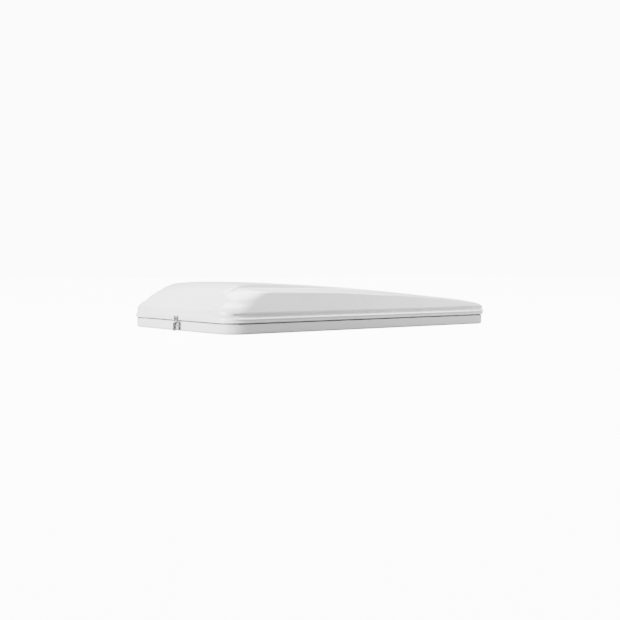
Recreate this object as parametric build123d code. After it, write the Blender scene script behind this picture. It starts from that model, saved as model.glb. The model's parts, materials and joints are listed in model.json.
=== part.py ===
from build123d import *
import os

# Hard-shell rooftop tent, closed. Millimetres, +Z up.
# Origin: middle of the footprint, on the surface the tent stands on.
# +X points to the low hinged end, -X to the tall end with the latch.

# ---- driving dimensions -------------------------------------------------
LENGTH = 2270.0          # lower shell, along X
WIDTH = 1270.0           # lower shell, along Y
CORNER = 140.0           # plan radius of the lower shell
RIM_OUT = 15.0           # how far the lid's rim band overhangs the lower shell
WALL = 4.0               # moulded shell thickness
BASE_TOP = 62.0          # top of the lower shell's flange
SEAM_TOP = 70.0          # underside of the lid's rim band
RIM_TOP = 100.0          # ledge on top of the rim band
FLANGE = 40.0            # width of the lower shell's inward flange
FLANGE_THICK = 5.0
FOOT_ROUND = 10.0        # round of the lower shell's foot
GAP = 0.3                # clearance between pieces on different bodies

# lid
SIDE_FOOT = 130.0        # height where the side panels start to lean in
LID_HIGH = 340.0         # height that the drafted side panels are built to
SIDE_LEAN = 0.384        # lean of the side panels, inward per millimetre of height
END_LEAN = 0.105         # the same for the end panels, before the roof profile cuts them
REAR_OUT = 11.0          # how far the lid's rear panel stands behind the lower shell
LID_FLANGE = 16.0        # width of the lid's flange over the seal
CREASE_Y = 435.0         # half width of the roof between the two shoulder slopes
SHOULDER_FALL = 0.235    # fall of the shoulder slopes, per millimetre outward
PANEL_BACK = -1000.0     # raised roof panel, rear edge
PANEL_FRONT = 1010.0     # raised roof panel, front edge
PANEL_HALF_BACK = 415.0  # half width of the raised panel at the rear
PANEL_HALF_FRONT = 345.0
PANEL_LEAN = 34.0        # how far the raised panel's edges lean in over its height
PANEL_CORNER = 90.0

# front hinges
HINGE_X = 1161.0
HINGE_Z = 66.0
HINGE_PLACES = (-420.0, 0.0, 420.0)
KNUCKLE_R = 8.0
HINGE_PIN_R = 4.0
PIN_OUT = 3.0            # how far a hinge pin stands out at each end
RUNNING = 0.05           # radial clearance of a running fit
HINGE_WIDTH = 90.0
KNUCKLE_HALF = 20.0      # half length of the upper leaf's knuckle
LEAF = 3.0               # hinge leaf thickness
LEAF_LOW_Z = (20.0, 62.0)
LEAF_TOP_Z = (78.0, 98.0)
SCREW_Z = (34.0, 91.0)   # screws of the lower and of the upper leaves
SCREW_STEP = 30.0
SCREW_R = 2.5
SCREW_DEEP = 8.0
SCREW_HEAD_R = (6.0, 5.0)
SCREW_HEAD_HIGH = 3.0

# rear latch, measured outward from the lower shell's rear face
LATCH_Y = -32.0
PIVOT_OUT = 22.0
PIVOT_Z = 46.0
BAIL_OUT = 16.0
BAIL_Z = 22.0
BAR_OUT = 25.0
BAR_Z = 94.0
BAIL_WIRE_R = 2.5
BAIL_HALF = 14.0         # bail leg to the latch's middle
PLATE = 2.5              # latch sheet thickness
LATCH_PLATE_HALF = 32.0
LATCH_PLATE_Z = (8.0, 60.0)
PIVOT_R = 3.0
PIVOT_HEAD_R = 5.0
PIVOT_HEAD_HIGH = 2.0
TAB_HALF = 14.0          # half width of the lever's finger tab
RIVET_R = 2.4
RIVET_HEAD_R = 4.0
RIVET_IN = 5.0           # rivet centre, inward from the base plate's edge
RIVET_Z = (14.0, 54.0)
RIVET_HIGH = 2.0
KEEPER_RIVET_IN = 6.0    # rivet centre, inward from the keeper plate's edge
KEEPER_RIVET_HIGH = 1.4
CHEEK_IN = 17.5          # inner face of the lever's cheek
EAR_IN = 20.3            # inner face of the base plate's ear
KEEPER_HALF = 10.5       # half width of the keeper's lip, between the bail's legs
KEEPER_WIDE = 24.0       # half width of the keeper plate
EYE_WIDE = 2.9           # half the width of the bail's eyes
EYE_R = 6.0
LIP_GAP = 0.5            # gap between the keeper's lip and the bail's bar

# gas struts
STRUT_Y = 580.0
STRUT_BASE_X = 160.0
STRUT_BASE_Z = 48.0
STRUT_LID_X = 710.0
STRUT_LID_Z = 146.0
CYL_R = 9.0
CYL_BORE_R = 7.5
ROD_R = 4.0
CYL_START = 16.0         # lower eye centre to the cylinder's closed end
CYL_END = 348.0          # lower eye centre to the cylinder's gland
STRUT_EYE_R = 9.0
STRUT_PIN_R = 4.0
EYE_HALF = 6.0           # half the thickness of a strut eye
PISTON_START = 100.0     # lower eye centre to the piston, closed
PISTON_LONG = 15.0
GLAND = 8.0              # length of the cylinder's gland
CYL_PLUG = 10.0          # solid end of the cylinder
NECK = 5.0               # half width of the neck between an eye and the cylinder
COLLAR_R = 6.0           # collar of the rod at its eye
COLLAR = (26.0, 7.0)     # collar's two ends, back from the upper eye centre
ROD_EYE_SLACK = 0.5      # radial clearance of the rod's eye on its stud
BRACKET_HALF = 25.0
BRACKET_DOWN = 13.0      # bracket below and above the stud
BRACKET_UP = 8.0
BRACKET_THICK = 3.0      # least thickness of the bracket's plate
SHOULDER_R = 7.0
STUD_GAP = 2.0           # gap between the eye and the stud's shoulder
HEAD_GAP = 0.5           # gap between the eye and the stud's head
STUD_HEAD_R = 6.5
STUD_HEAD_HIGH = 3.0

# floor, rails and bedding
FLOOR_TOP = 29.0
RAIL_Y = 300.0
RAIL_LENGTH = 1500.0
RAIL_WIDTH = 34.0
RAIL_HIGH = 14.0
RAIL_SLACK = 0.5         # gap on each side of a rail in its recess
RAIL_END_SLACK = 2.0     # gap at each end of it
RAIL_CHAMFER = 1.0
BOLT_HOLE_DEEP = 9.0     # tapped hole in the rail, and the bolt's length in it
BOLT_IN_RAIL = 8.0
BOLT_R = 4.0
BOLT_PLACES = (-600.0, -200.0, 200.0, 600.0)
CLAMP_PLACES = (-650.0, -350.0, 350.0, 650.0)   # tapped holes for roof bar clamps
CLAMP_HOLE_R = 4.0
CLAMP_HOLE_DEEP = 10.0
MATTRESS_TOP = 89.0
MATTRESS_HALF = 545.0
MATTRESS_BACK = -1020.0
MATTRESS_FRONT = 1060.0
MATTRESS_CORNER = 60.0
MATTRESS_ROUND = 18.0
BOARD = 10.7             # floor board thickness
BOLT_SLACK = 0.2         # radial clearance of the rail bolts' plain holes
WASHER_R = 9.0
WASHER_THICK = 1.0
BOLT_HEAD_R = 7.0        # across the corners of the hexagon
BOLT_HEAD_HIGH = 4.0
HEAD_POCKET_R = 10.5     # pocket in the floor board over each bolt head
POCKET_ROOF = 3.0        # board left above a pocket
BOARD_SLACK = 5.0        # gap between the board and the flange's edge

# lining, lamp, net and strap under the roof
HEADLINER_BACK = -900.0
HEADLINER_FRONT = 980.0
HEADLINER_HALF = 430.0
PADDING = 7.5            # thickness of the headliner
LINING_DOWN = WALL + 8.0 # roof's outer face to the headliner's underside
LAMP_X = 120.0
LAMP_R = 45.0
LAMP_HIGH = 18.0
LENS_R = 37.5
LENS_DEEP = 8.0          # recess of the lamp that holds the lens
LENS_SLACK = 0.5
LENS_OUT = 2.0           # how far the lens stands below the housing
LENS_ROUND = 4.0
LAMP_DOWN = 3.0          # gap that lets the flat lamp clear the sloping lining
NET_Z = 238.0
NET_THICK = 4.0
NET_BACK = -620.0
NET_FRONT = -180.0
NET_HALF = 330.0
HANGER_IN = 15.0         # net hanger's centre, inward from the net's corner
HANGER_HALF = 12.0
HANGER_GAP = 0.5
STRAP_X = -840.0
STRAP_HALF = 13.0
STRAP_END = 130.0
STRAP_LOOP = 95.0
STRAP_DOWN = 32.0
STRAP_THICK = 3.0
STRAP_GAP = 1.0

# seal, fabric walls, folded, and the strips that hold them
SEAL_OUT = 3.0           # seal, outer and inner edge, inward from the shell's face
SEAL_IN = 15.0
FOLD_LOW = 77.0
FOLD_TOP = 118.0
SIDE_FOLD_IN = 604.0     # side fold, inner and outer face
SIDE_FOLD_OUT = 617.0
SIDE_FOLD_BACK = -1000.0
SIDE_FOLD_FRONT = 1040.0
REAR_FOLD_LOW = 92.0
REAR_FOLD_BACK = -1102.0
REAR_FOLD_FRONT = -990.0
REAR_FOLD_HALF = 500.0
CLAMP_THICK = 3.0
CLAMP_LOW_OUT = 20.0     # lower strip, outer and inner edge, inward from the shell's face
CLAMP_LOW_IN = 34.0
CLAMP_TOP_Z = (120.0, 129.0)
CLAMP_LOW_FRONT = 1000.0
CLAMP_TOP_FRONT = 900.0

os.makedirs("parts", exist_ok=True)

HALF_L = LENGTH / 2
HALF_W = WIDTH / 2
REAR = -HALF_L
FAR = 1300.0             # beyond the whole tent, for cutters
CUT = 1.0                # how far a cutter passes its piece
# roof line above the crease, as (x, height), shared by the roof and the ceiling
CREASE_LINE = ((-866, 286), (-600, 281), (-120, 268), (330, 236), (690, 206))


# ---- helpers -------------------------------------------------------------
def save(name, *solids):
    """Write one node as a STEP file."""
    shape = solids[0] if len(solids) == 1 else Compound(children=list(solids))
    export_step(shape, "parts/" + name + ".step")


def box(x0, x1, y0, y1, z0, z1):
    """Box between two corners."""
    size = Box(x1 - x0, y1 - y0, z1 - z0)
    return Pos((x0 + x1) / 2, (y0 + y1) / 2, (z0 + z1) / 2) * size


def rod_y(x, z, y0, y1, radius):
    """Cylinder lying along Y."""
    return Pos(x, (y0 + y1) / 2, z) * Rot(90, 0, 0) * Cylinder(radius, abs(y1 - y0))


def rod_z(x, y, z0, z1, radius):
    """Upright cylinder."""
    return Pos(x, y, (z0 + z1) / 2) * Cylinder(radius, z1 - z0)


def rod_x(y, z, x0, x1, radius):
    """Cylinder lying along X."""
    return Pos((x0 + x1) / 2, y, z) * Rot(0, 90, 0) * Cylinder(radius, abs(x1 - x0))


def slab(grow, z0, z1):
    """Rounded rectangle like the lower shell's plan, grown outward by grow."""
    plan = RectangleRounded(LENGTH + 2 * grow, WIDTH + 2 * grow, CORNER + grow)
    return extrude(Pos(0, 0, z0) * plan, z1 - z0)


def ring(outer, inner, z0, z1):
    """Closed band between two grown plans."""
    return slab(outer, z0, z1) - slab(inner, z0 - CUT, z1 + CUT)


def span(side, near, far):
    """Two distances from the middle on one side, as a low and a high coordinate."""
    return min(side * near, side * far), max(side * near, side * far)


def side_plate(points, y0, y1):
    """Plate in the XZ plane, from y0 to y1."""
    outline = Polyline(*[(x, 0, z) for x, z in points], close=True)
    face = make_face(outline)
    return Pos(0, y0, 0) * extrude(face, y1 - y0, dir=(0, 1, 0))


# ---- lower shell -----------------------------------------------------------
def make_lower_shell():
    """Moulded tray with an inward flange and two recesses for the rails."""
    outer = slab(0, 0, BASE_TOP)
    outer = fillet(outer.edges().group_by(Axis.Z)[0], FOOT_ROUND)
    hollow = slab(-WALL, WALL, BASE_TOP - FLANGE_THICK)
    mouth = slab(-FLANGE, BASE_TOP - FLANGE_THICK - CUT, BASE_TOP + CUT)
    shell = outer - hollow - mouth
    half = RAIL_WIDTH / 2
    for side in (-1, 1):
        y = side * RAIL_Y
        x = RAIL_LENGTH / 2 + RAIL_END_SLACK + WALL
        ridge = box(-x, x, y - half - WALL, y + half + WALL, 0, RAIL_HIGH + WALL)
        recess = box(-x + WALL, x - WALL, y - half, y + half, -CUT, RAIL_HIGH)
        shell = shell + ridge - recess
        for bolt_x in BOLT_PLACES:
            shell = shell - rod_z(
                bolt_x, y, RAIL_HIGH - CUT, RAIL_HIGH + WALL + CUT, BOLT_R + BOLT_SLACK
            )
    return shell


def make_floor_board():
    """Floor panel on the rail ridges, with a pocket over each bolt head."""
    board = slab(-FLANGE - BOARD_SLACK, FLOOR_TOP - BOARD, FLOOR_TOP)
    for side in (-1, 1):
        for x in BOLT_PLACES:
            board = board - rod_z(x, side * RAIL_Y, 0, FLOOR_TOP - POCKET_ROOF, HEAD_POCKET_R)
    return board


def make_mattress():
    """Foam mattress, plain here."""
    plan = RectangleRounded(MATTRESS_FRONT - MATTRESS_BACK, 2 * MATTRESS_HALF, MATTRESS_CORNER)
    middle = (MATTRESS_FRONT + MATTRESS_BACK) / 2
    pad = extrude(Pos(middle, 0, FLOOR_TOP) * plan, MATTRESS_TOP - FLOOR_TOP)
    return fillet(pad.edges().group_by(Axis.Z)[-1], MATTRESS_ROUND)


def make_rail(side):
    """Mounting rail: a flat bar with tapped holes for the roof bar clamps."""
    y = side * RAIL_Y
    x = RAIL_LENGTH / 2
    half = RAIL_WIDTH / 2 - RAIL_SLACK
    rail = box(-x, x, y - half, y + half, 0, RAIL_HIGH)
    rail = chamfer(rail.edges().filter_by(Axis.X).group_by(Axis.Z)[0], RAIL_CHAMFER)
    for place in CLAMP_PLACES:
        rail = rail - rod_z(place, y, -CUT, CLAMP_HOLE_DEEP, CLAMP_HOLE_R)
    for place in BOLT_PLACES:
        low = RAIL_HIGH - BOLT_HOLE_DEEP
        rail = rail - rod_z(place, y, low, RAIL_HIGH + CUT, BOLT_R + RUNNING)
    return rail


def make_rail_bolts():
    """Hexagon bolts that hold the rails, and their washers."""
    bolts = []
    washers = []
    seat = RAIL_HIGH + WALL
    for side in (-1, 1):
        y = side * RAIL_Y
        for x in BOLT_PLACES:
            top = seat + WASHER_THICK
            washer = rod_z(x, y, seat, top, WASHER_R)
            washers.append(washer - rod_z(x, y, seat - CUT, top + CUT, BOLT_R + BOLT_SLACK))
            head = Pos(x, y, top) * extrude(RegularPolygon(BOLT_HEAD_R, 6), BOLT_HEAD_HIGH)
            bolts.append(head + rod_z(x, y, RAIL_HIGH - BOLT_IN_RAIL, top + CUT, BOLT_R))
    return bolts, washers


# ---- lid -------------------------------------------------------------------
def roof_wire(inset, fall, y):
    """Closed roof outline at a given y; fall lowers the roof line there."""
    low = 60.0
    down = inset + fall
    rear = -HALF_L - REAR_OUT + inset
    front = HALF_L - inset
    points = [
        (rear, low),
        (rear, 118 - fall * 0.2),
        (rear + 4, 142 - fall * 0.4),
        (rear + 20, 159 - fall * 0.5),
        (rear + 66, 189 - down),
        (rear + 141, 250 - down),
        (rear + 170, 268 - down),
        (rear + 215, 281 - down),
        *[(x, z - down) for x, z in CREASE_LINE],
        (1010, 175 - down),
        (front - 55, 163 - down),
        (front - 15, 148 - down * 0.7),
        (front, 122 - fall * 0.2),
        (front, low),
    ]
    return Polyline(*[(x, y, z) for x, z in points], close=True)


def lid_sides(inset):
    """Upright foot and leaning panels, before the roof cuts them."""
    high = LID_HIGH - SIDE_FOOT
    length = LENGTH + REAR_OUT - 2 * inset
    width = WIDTH - 2 * inset
    foot = RectangleRounded(length, width, CORNER - inset)
    head = RectangleRounded(
        length - 2 * high * END_LEAN, width - 2 * high * SIDE_LEAN, CORNER - inset
    )
    lean = loft([Pos(0, 0, SIDE_FOOT) * foot, Pos(0, 0, LID_HIGH) * head], ruled=True)
    upright = extrude(Pos(0, 0, BASE_TOP) * foot, SIDE_FOOT - BASE_TOP)
    return Pos(-REAR_OUT / 2, 0, 0) * (upright + lean)


def lid_form(inset):
    """Outer form of the lid above the seam, shrunk by inset."""
    out = 700.0
    fall = (out - CREASE_Y) * SHOULDER_FALL
    places = ((-out, fall), (-CREASE_Y, 0), (CREASE_Y, 0), (out, fall))
    faces = [make_face(roof_wire(inset, drop, y)) for y, drop in places]
    return lid_sides(inset) & loft(faces, ruled=True)


def panel_form(inset):
    """Raised panel in the middle of the roof, shrunk by inset."""
    half_b = PANEL_HALF_BACK - inset
    half_f = PANEL_HALF_FRONT - inset
    back = PANEL_BACK + inset
    front = PANEL_FRONT - inset

    def plan(z, shrink):
        """Panel outline at one height."""
        outline = Polyline(
            (back + shrink, -half_b + shrink),
            (front - shrink, -half_f + shrink),
            (front - shrink, half_f - shrink),
            (back + shrink, half_b - shrink),
            close=True,
        )
        face = make_face(outline)
        return Pos(0, 0, z) * fillet(face.vertices(), PANEL_CORNER - inset)

    block = loft([plan(130, 0), plan(330, PANEL_LEAN)], ruled=True)
    top = [
        (-1060, 150),
        (-1035, 290 - inset),
        (-1005, 312 - inset),
        (-900, 316 - inset),
        (-712, 313.5 - inset),
        (-467, 303 - inset),
        (-123, 286 - inset),
        (242, 261 - inset),
        (630, 228 - inset),
        (1042, 184 - inset),
        (1060, 120),
    ]
    profile = make_face(Polyline(*[(x, -500, z) for x, z in top], close=True))
    return block & extrude(profile, 1000, dir=(0, 1, 0))


def make_upper_shell():
    """Lid: flange, rim band, ledge, leaning sides, roof with its raised panel."""
    foot = SEAM_TOP + GAP
    outer = slab(RIM_OUT, foot, RIM_TOP) + lid_form(0) + panel_form(0)
    below = box(-FAR, FAR, -FAR, FAR, 0, foot)
    mouth = slab(-LID_FLANGE, foot - CUT, foot + WALL + CUT)
    channel = slab(RIM_OUT - WALL, foot + WALL, RIM_TOP - WALL)
    room = lid_form(WALL) + panel_form(WALL)
    room = room - box(-FAR, FAR, -FAR, FAR, 0, foot + WALL + CUT)
    return outer - below - mouth - channel - room


def make_headliner():
    """Padded lining under the flat of the roof."""
    field = box(
        HEADLINER_BACK, HEADLINER_FRONT, -HEADLINER_HALF, HEADLINER_HALF, SIDE_FOOT, LID_HIGH
    )
    return (lid_form(LINING_DOWN - PADDING) & field) - lid_form(LINING_DOWN)


def ceiling(x):
    """Height of the headliner's underside at x, along the roof's crease."""
    for (x0, z0), (x1, z1) in zip(CREASE_LINE, CREASE_LINE[1:]):
        if x0 <= x <= x1:
            return z0 + (z1 - z0) * (x - x0) / (x1 - x0) - LINING_DOWN
    return CREASE_LINE[-1][1] - LINING_DOWN


def make_lamp():
    """Round ceiling lamp: housing and lens."""
    top = ceiling(LAMP_X) - LAMP_DOWN
    low = top - LAMP_HIGH
    recess = rod_z(LAMP_X, 0, low - CUT, top - LENS_DEEP, LENS_R + LENS_SLACK)
    housing = rod_z(LAMP_X, 0, low, top, LAMP_R) - recess
    lens = rod_z(LAMP_X, 0, low - LENS_OUT, top - LENS_DEEP - GAP, LENS_R)
    return housing, fillet(lens.edges().group_by(Axis.Z)[0], LENS_ROUND)


def make_net():
    """Ceiling storage net, a plain sheet here, and its four hangers."""
    top = NET_Z + NET_THICK
    net = box(NET_BACK, NET_FRONT, -NET_HALF, NET_HALF, NET_Z, top)
    half = HANGER_HALF
    hangers = []
    for x in (NET_BACK + HANGER_IN, NET_FRONT - HANGER_IN):
        for y in (-NET_HALF + HANGER_IN, NET_HALF - HANGER_IN):
            high = ceiling(x + half) - HANGER_GAP
            hangers.append(box(x - half, x + half, y - half, y + half, top, high))
    return net, hangers


def make_grab_strap():
    """Webbing handle across the ceiling at the tall end."""
    top = ceiling(STRAP_X) - STRAP_GAP
    left = STRAP_X - STRAP_HALF
    right = STRAP_X + STRAP_HALF
    strap = box(left, right, -STRAP_END, STRAP_END, top - STRAP_DOWN, top)
    low = top - STRAP_DOWN + STRAP_THICK
    return strap - box(left - CUT, right + CUT, -STRAP_LOOP, STRAP_LOOP, low, top + CUT)


# ---- seal and fabric --------------------------------------------------------
def make_seal():
    """Rubber seal on the lower shell's flange."""
    return ring(-SEAL_OUT, -SEAL_IN, BASE_TOP, SEAM_TOP)


def clamp_strip(outer, inner, z0, z1, front):
    """Strip that holds the fabric walls: left, rear and right, open at the front."""
    return ring(outer, inner, z0, z1) - box(front, FAR, -FAR, FAR, z0 - CUT, z1 + CUT)


def make_side_wall(side):
    """Folded side fabric."""
    y0, y1 = span(side, SIDE_FOLD_IN, SIDE_FOLD_OUT)
    return box(SIDE_FOLD_BACK, SIDE_FOLD_FRONT, y0, y1, FOLD_LOW, FOLD_TOP)


def make_rear_wall():
    """Folded rear fabric, lying over the mattress's end."""
    half = REAR_FOLD_HALF
    return box(REAR_FOLD_BACK, REAR_FOLD_FRONT, -half, half, REAR_FOLD_LOW, FOLD_TOP)


# ---- front hinges -------------------------------------------------------------
def hinge_screws(y, z, face, head_r):
    """The two screws of one leaf."""
    screws = []
    seat = face + LEAF
    for step in (-SCREW_STEP, SCREW_STEP):
        head = rod_x(y + step, z, seat, seat + SCREW_HEAD_HIGH, head_r)
        shank = rod_x(y + step, z, face - SCREW_DEEP, seat + CUT, SCREW_R)
        screws.append(head + shank)
    return screws


def lower_leaf(y, face):
    """Plate on the lower shell with the two outer knuckles."""
    half = HINGE_WIDTH / 2
    low, high = LEAF_LOW_Z
    leaf = box(face, face + LEAF, y - half, y + half, low, high)
    outline = [(face, 50), (HINGE_X - 3, 59), (HINGE_X - 3, 69), (face, high)]
    for side in (-1, 1):
        y0, y1 = span(side, KNUCKLE_HALF + GAP, half)
        arm = side_plate(outline, y + y0, y + y1)
        leaf = leaf + arm + rod_y(HINGE_X, HINGE_Z, y + y0, y + y1, KNUCKLE_R)
    end = half + CUT
    return leaf - rod_y(HINGE_X, HINGE_Z, y - end, y + end, HINGE_PIN_R + RUNNING)


def upper_leaf(y, face):
    """Plate on the lid's rim band with the middle knuckle."""
    half = HINGE_WIDTH / 2
    low, high = LEAF_TOP_Z
    leaf = box(face, face + LEAF, y - half, y + half, low, high)
    outline = [(face, 88), (face, 74), (HINGE_X - 4, 69), (HINGE_X, 73), (face + LEAF, 88)]
    arm = side_plate(outline, y - KNUCKLE_HALF, y + KNUCKLE_HALF)
    knuckle = rod_y(HINGE_X, HINGE_Z, y - KNUCKLE_HALF, y + KNUCKLE_HALF, KNUCKLE_R)
    end = KNUCKLE_HALF + CUT
    hole = rod_y(HINGE_X, HINGE_Z, y - end, y + end, HINGE_PIN_R + RUNNING)
    return leaf + arm + knuckle - hole


def make_hinges():
    """Three hinges: lower leaves, upper leaves, pins and both sets of screws."""
    lower = []
    upper = []
    pins = []
    low_screws = []
    top_screws = []
    face_low = HALF_L
    face_top = HALF_L + RIM_OUT
    end = HINGE_WIDTH / 2 + PIN_OUT
    for y in HINGE_PLACES:
        lower.append(lower_leaf(y, face_low))
        upper.append(upper_leaf(y, face_top))
        pins.append(rod_y(HINGE_X, HINGE_Z, y - end, y + end, HINGE_PIN_R))
        low_screws += hinge_screws(y, SCREW_Z[0], face_low, SCREW_HEAD_R[0])
        top_screws += hinge_screws(y, SCREW_Z[1], face_top, SCREW_HEAD_R[1])
    return lower, upper, pins, low_screws, top_screws


# ---- rear latch -----------------------------------------------------------------
def out(u):
    """X of a point that stands u outside the lower shell's rear face."""
    return REAR - u


def latch_plate(points, y0, y1):
    """Plate of the latch, its outline given as (outward, height)."""
    return side_plate([(out(u), z) for u, z in points], LATCH_Y + y0, LATCH_Y + y1)


def make_latch_base():
    """Base plate with two ears."""
    low, high = LATCH_PLATE_Z
    outline = [(0, low), (PLATE, low), (PLATE, high), (0, high)]
    base = latch_plate(outline, -LATCH_PLATE_HALF, LATCH_PLATE_HALF)
    for side in (-1, 1):
        y0, y1 = span(side, EAR_IN, EAR_IN + PLATE)
        ear = latch_plate(
            [(PLATE, 18), (PIVOT_OUT - 4, 34), (PIVOT_OUT + 6, 42), (PIVOT_OUT + 6, 50),
             (PIVOT_OUT, 54), (PLATE, 58)],
            y0,
            y1,
        )
        y_mid = LATCH_Y + side * (EAR_IN + PLATE / 2)
        hole = rod_y(out(PIVOT_OUT), PIVOT_Z, y_mid - PLATE, y_mid + PLATE, PIVOT_R + RUNNING)
        base = base + (ear - hole)
    return base


def make_latch_pivots():
    """Stub pins through the ears and the lever's cheeks."""
    pins = []
    for side in (-1, 1):
        y0 = LATCH_Y + side * CHEEK_IN
        y1 = LATCH_Y + side * (EAR_IN + PLATE)
        head = y1 + side * PIVOT_HEAD_HIGH
        pin = rod_y(out(PIVOT_OUT), PIVOT_Z, y0, y1, PIVOT_R)
        pins.append(pin + rod_y(out(PIVOT_OUT), PIVOT_Z, y1, head, PIVOT_HEAD_R))
    return pins


def make_latch_lever():
    """Channel lever with a curled finger tab."""
    lever = None
    for side in (-1, 1):
        y0, y1 = span(side, CHEEK_IN, CHEEK_IN + PLATE)
        cheek = latch_plate(
            [(11, 12), (27, 9), (29, 14), (29, 46), (27, 52), (20, 54), (15, 50), (11, 28)], y0, y1
        )
        y_mid = LATCH_Y + side * (CHEEK_IN + PLATE / 2)
        low = y_mid - PLATE
        high = y_mid + PLATE
        cheek = cheek - rod_y(out(PIVOT_OUT), PIVOT_Z, low, high, PIVOT_R + RUNNING)
        cheek = cheek - rod_y(out(BAIL_OUT), BAIL_Z, low, high, BAIL_WIRE_R + RUNNING)
        lever = cheek if lever is None else lever + cheek
    web = latch_plate([(26.5, 7), (29, 7), (29, 12), (26.5, 12)], -CHEEK_IN, CHEEK_IN)
    outline = [(24, 4), (34, 1), (34, 3.5), (29, 6), (29, 10), (26.5, 10)]
    tab = latch_plate(outline, -TAB_HALF, TAB_HALF)
    return lever + web + tab


def make_bail_pin():
    """Pin between the cheeks that carries the wire bail."""
    end = CHEEK_IN + PLATE
    return rod_y(out(BAIL_OUT), BAIL_Z, LATCH_Y - end, LATCH_Y + end, BAIL_WIRE_R)


def make_bail():
    """Wire bail: a bent wire whose bar pulls on the keeper, with two eyes."""
    near = LATCH_Y - BAIL_HALF
    far = LATCH_Y + BAIL_HALF
    low = Vector(out(BAIL_OUT), near, BAIL_Z)
    high = Vector(out(BAR_OUT), near, BAR_Z)
    across = Vector(0, far - near, 0)
    path = FilletPolyline(low, high, high + across, low + across, radius=2 * BAIL_WIRE_R)
    bail = sweep(Plane(low, z_dir=high - low) * Circle(BAIL_WIRE_R), path=path)
    for y in (near, far):
        bail = bail + rod_y(low.X, low.Z, y - EYE_WIDE, y + EYE_WIDE, EYE_R)
    end = BAIL_HALF + 2 * EYE_WIDE
    return bail - rod_y(low.X, low.Z, LATCH_Y - end, LATCH_Y + end, BAIL_WIRE_R + RUNNING)


def make_keeper():
    """Keeper plate on the lid's rim band, with an upturned lip beside the bail's bar."""
    lip = BAR_OUT - BAIL_WIRE_R - LIP_GAP
    foot = RIM_OUT + PLATE
    low = SEAM_TOP + 3
    top = RIM_TOP - 2
    plate = latch_plate(
        [(RIM_OUT, low), (foot, low), (foot, top), (RIM_OUT, top)], -KEEPER_WIDE, KEEPER_WIDE
    )
    hook = latch_plate(
        [(foot, low + 2), (lip, low + 2), (lip, BAR_Z + 3), (lip - PLATE, BAR_Z + 3),
         (lip - PLATE, low + 6), (foot, low + 6)],
        -KEEPER_HALF,
        KEEPER_HALF,
    )
    return plate + hook


def rivet(y, z, start, face, high):
    """Rivet from start to its head on a face, both measured outward."""
    shank = rod_x(y, z, out(start), out(face), RIVET_R)
    return shank + rod_x(y, z, out(face), out(face + high), RIVET_HEAD_R)


def make_latch_rivets():
    """Rivets of the base plate and of the keeper."""
    low = []
    top = []
    step = LATCH_PLATE_HALF - RIVET_IN
    for y in (LATCH_Y - step, LATCH_Y + step):
        for z in RIVET_Z:
            low.append(rivet(y, z, -WALL, PLATE, RIVET_HIGH))
    middle = (SEAM_TOP + RIM_TOP) / 2
    step = KEEPER_WIDE - KEEPER_RIVET_IN
    for y in (LATCH_Y - step, LATCH_Y + step):
        top.append(rivet(y, middle, RIM_OUT - WALL, RIM_OUT + PLATE, KEEPER_RIVET_HIGH))
    return low, top


# ---- gas struts -------------------------------------------------------------------
def strut_place(side):
    """Location of a strut: origin at the lower eye, local +X along the strut."""
    slope = Vector(STRUT_LID_X - STRUT_BASE_X, 0, STRUT_LID_Z - STRUT_BASE_Z)
    tilt = slope.get_angle(Vector(1, 0, 0))
    return Pos(STRUT_BASE_X, side * STRUT_Y, STRUT_BASE_Z) * Rot(0, -tilt, 0), slope.length


def make_cylinder(side):
    """Strut cylinder with its lower eye, bored for the piston and the rod."""
    place, _ = strut_place(side)
    body = rod_x(0, 0, CYL_START, CYL_END, CYL_R)
    body = body + rod_y(0, 0, -EYE_HALF, EYE_HALF, STRUT_EYE_R)
    body = body + box(0, CYL_START + CUT, -NECK, NECK, -NECK, NECK)
    body = body - rod_y(0, 0, -EYE_HALF - CUT, EYE_HALF + CUT, STRUT_PIN_R + RUNNING)
    body = body - rod_x(0, 0, CYL_START + CYL_PLUG, CYL_END - GLAND, CYL_BORE_R)
    body = body - rod_x(0, 0, CYL_END - GLAND - CUT, CYL_END + CUT, ROD_R + RUNNING)
    return place * body


def make_rod(side):
    """Strut rod with its piston and upper eye."""
    place, length = strut_place(side)
    end = PISTON_START + PISTON_LONG
    body = rod_x(0, 0, PISTON_START, length - EYE_HALF, ROD_R)
    body = body + rod_x(0, 0, PISTON_START, end, CYL_BORE_R - RUNNING)
    body = body + rod_x(0, 0, length - COLLAR[0], length - COLLAR[1], COLLAR_R)
    eye = rod_y(length, 0, -EYE_HALF, EYE_HALF, STRUT_EYE_R)
    bore = STRUT_PIN_R + ROD_EYE_SLACK
    hole = rod_y(length, 0, -EYE_HALF - CUT, EYE_HALF + CUT, bore)
    return place * ((body + eye) - hole)


def inner_wall(z):
    """Y of the shells' inner side wall at height z."""
    return HALF_W - WALL - max(0.0, z - SIDE_FOOT) * SIDE_LEAN


def strut_bracket(side, x, z, reach, head):
    """Block on the shell's inner wall with a stud that points inward."""
    low = z - BRACKET_DOWN
    top = z + BRACKET_UP
    front = inner_wall(top) - BRACKET_THICK
    outline = [(inner_wall(low), low), (inner_wall(top), top), (front, top), (front, low)]
    start = x - BRACKET_HALF
    face = make_face(Polyline(*[(start, side * y, h) for y, h in outline], close=True))
    plate = extrude(face, 2 * BRACKET_HALF, dir=(1, 0, 0))
    stud = rod_y(x, z, side * front, side * reach, STRUT_PIN_R)
    shoulder = rod_y(x, z, side * front, side * (STRUT_Y + EYE_HALF + STUD_GAP), SHOULDER_R)
    body = plate + stud + shoulder
    if head:
        body = body + rod_y(x, z, side * reach, side * (reach - STUD_HEAD_HIGH), STUD_HEAD_R)
    return body


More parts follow.
